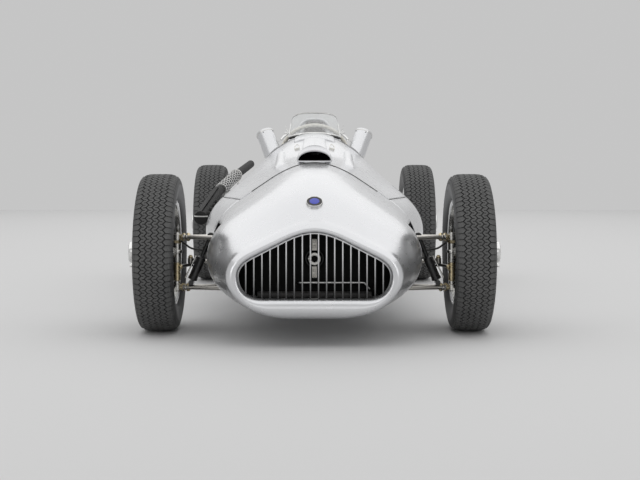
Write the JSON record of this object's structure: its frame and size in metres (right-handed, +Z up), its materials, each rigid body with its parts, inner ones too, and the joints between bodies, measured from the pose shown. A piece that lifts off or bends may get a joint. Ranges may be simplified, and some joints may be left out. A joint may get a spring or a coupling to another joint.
{
  "type": "open wheel single seat racing car",
  "caption": "Open wheel single seat racing car with an oval barred nose, wire wheels, an open cockpit behind a small curved screen and a side exhaust.",
  "frame": {"origin": "on the ground, midway along the car's length and on its centre line", "axes": "+X to the car's left, +Y towards the tail, +Z up"},
  "size_m": [1.546, 3.7, 0.97],
  "materials": {
    "body_metal": "gloss silver paint over hand beaten aluminium",
    "bright": "bright plating",
    "badge": "blue enamel inside a dark rim",
    "screen": "clear",
    "mirror_glass": "silvered",
    "dash": "satin black",
    "inner_sheet": "dull sheet",
    "seat_leather": "black hide",
    "wheel_grip": "cream bound rim",
    "black_paint": "gloss black",
    "frame_paint": "satin black",
    "radiator_core": "dark fins",
    "steel": "polished steel and nickel",
    "cast_metal": "as cast",
    "tyre_rubber": "black rubber"
  },
  "bodies": {
    "chassis": {"nose_cowl": "body_metal", "grille": "bright", "badge": "badge", "bonnet": "body_metal", "side_panel_left": "body_metal", "side_panel_right": "body_metal", "undertray": "body_metal", "tub": "body_metal", "tail": "body_metal", "fuel_cap": "bright", "windscreen": "screen", "windscreen_strip": "bright", "mirror_pods": "body_metal", "mirror_glasses": "mirror_glass", "dashboard": "dash", "firewall": "inner_sheet", "seat_shell": "inner_sheet", "seat_pads": "seat_leather", "headrest_pad": "seat_leather", "steering_column": "black_paint", "chassis_frame": "frame_paint", "radiator": "radiator_core", "starter_boss": "steel", "coolant_pipe": "bright", "engine_block": "cast_metal", "exhaust_pipe": "black_paint", "exhaust_shroud": "black_paint", "exhaust_guard": "steel", "upper_arms": "steel", "lower_arms": "steel", "front_dampers": "black_paint", "rear_axle_tube": "black_paint", "differential": "cast_metal", "trailing_arms": "steel", "rear_dampers": "black_paint"},
    "steering_wheel": {"steering_wheel": "wheel_grip"},
    "knuckle_left": {"knuckle_left": "steel"},
    "knuckle_right": {"knuckle_right": "steel"},
    "track_rod": {"track_rod": "steel"},
    "wheel_front_left": {"front_wheel_left": "bright", "front_tyre_left": "tyre_rubber"},
    "wheel_front_right": {"front_wheel_right": "bright", "front_tyre_right": "tyre_rubber"},
    "wheel_rear_left": {"half_shaft_left": "steel", "rear_wheel_left": "bright", "rear_tyre_left": "tyre_rubber"},
    "wheel_rear_right": {"half_shaft_right": "steel", "rear_wheel_right": "bright", "rear_tyre_right": "tyre_rubber"}
  },
  "joints": [
    {"name": "steering_wheel_turn", "type": "hinge", "parent": "chassis", "child": "steering_wheel", "pos_m": [0, 0.255, 0.742], "axis": [0, 0.9063, 0.4226], "range_deg": [-180, 180]},
    {"name": "steer_left", "type": "hinge", "parent": "chassis", "child": "knuckle_left", "pos_m": [0.582, -1.3, 0.33], "axis": [0, 0, 1], "range_deg": [-18.5, 18.5]},
    {"name": "steer_right", "type": "hinge", "parent": "chassis", "child": "knuckle_right", "pos_m": [-0.582, -1.3, 0.33], "axis": [0, 0, 1], "range_deg": [-18.5, 18.5]},
    {"name": "track_rod_slide", "type": "slide", "parent": "chassis", "child": "track_rod", "axis": [1, 0, 0], "range_m": [-0.0385, 0.0385]},
    {"name": "spin_front_left", "type": "hinge", "parent": "knuckle_left", "child": "wheel_front_left", "pos_m": [0.651, -1.3, 0.33], "axis": [1, 0, 0], "continuous": true},
    {"name": "spin_front_right", "type": "hinge", "parent": "knuckle_right", "child": "wheel_front_right", "pos_m": [-0.651, -1.3, 0.33], "axis": [1, 0, 0], "continuous": true},
    {"name": "spin_rear_left", "type": "hinge", "parent": "chassis", "child": "wheel_rear_left", "pos_m": [0.618, 1.1, 0.345], "axis": [1, 0, 0], "continuous": true},
    {"name": "spin_rear_right", "type": "hinge", "parent": "chassis", "child": "wheel_rear_right", "pos_m": [-0.618, 1.1, 0.345], "axis": [1, 0, 0], "continuous": true}
  ],
  "couplings": [
    {"joint": "steer_left", "follows": "steering_wheel_turn", "ratio": 0.1},
    {"joint": "steer_right", "follows": "steering_wheel_turn", "ratio": 0.1},
    {"joint": "track_rod_slide", "follows": "steering_wheel_turn", "m_per_rad": -0.012}
  ]
}
